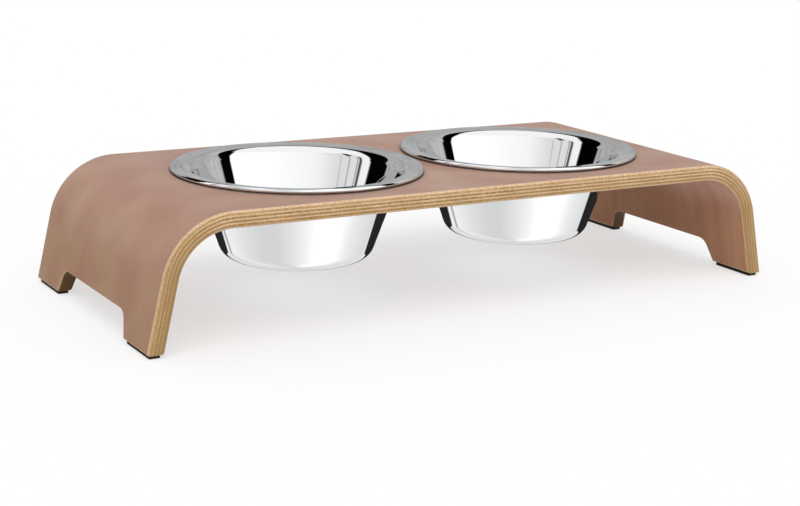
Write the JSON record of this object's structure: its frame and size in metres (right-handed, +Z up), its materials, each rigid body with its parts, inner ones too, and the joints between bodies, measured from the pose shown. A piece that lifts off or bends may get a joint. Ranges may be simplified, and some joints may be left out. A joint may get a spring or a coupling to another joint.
{
  "type": "raised pet feeder",
  "caption": "Low bridge of bent plywood with rose-brown faces and pale layered edges, standing on thin pads, that holds round steel bowls at a raised height for a dog to eat and drink from.",
  "frame": {"origin": "on the floor under the middle of the bridge", "axes": "+X along the bridge from the left bowl to the right bowl, +Y to the back, +Z up"},
  "size_m": [0.587, 0.25, 0.11],
  "materials": {
    "face_laminate": "satin rose-brown decorative laminate",
    "long_grain_veneer": "pale veneer, long grain, oiled edge",
    "cross_grain_veneer": "veneer, cross grain, oiled edge",
    "pad_rubber": "matt black rubber",
    "polished_steel": "mirror-polished stainless steel"
  },
  "bodies": {
    "stand": {"outer_face_laminate": "face_laminate", "inner_face_laminate": "face_laminate", "core_veneer_1": "long_grain_veneer", "core_veneer_2": "cross_grain_veneer", "core_veneer_3": "long_grain_veneer", "core_veneer_4": "cross_grain_veneer", "core_veneer_5": "long_grain_veneer", "core_veneer_6": "cross_grain_veneer", "core_veneer_7": "long_grain_veneer", "core_veneer_8": "cross_grain_veneer", "core_veneer_9": "long_grain_veneer", "foot_pad_front_left": "pad_rubber", "foot_pad_front_right": "pad_rubber", "foot_pad_back_left": "pad_rubber", "foot_pad_back_right": "pad_rubber"},
    "left_bowl": {"bowl_left": "polished_steel"},
    "right_bowl": {"bowl_right": "polished_steel"}
  },
  "joints": [
    {"name": "left_bowl_lift", "type": "slide", "parent": "stand", "child": "left_bowl", "axis": [0, 0, 1], "range_m": [0, 0.1]},
    {"name": "right_bowl_lift", "type": "slide", "parent": "stand", "child": "right_bowl", "axis": [0, 0, 1], "range_m": [0, 0.1]}
  ]
}
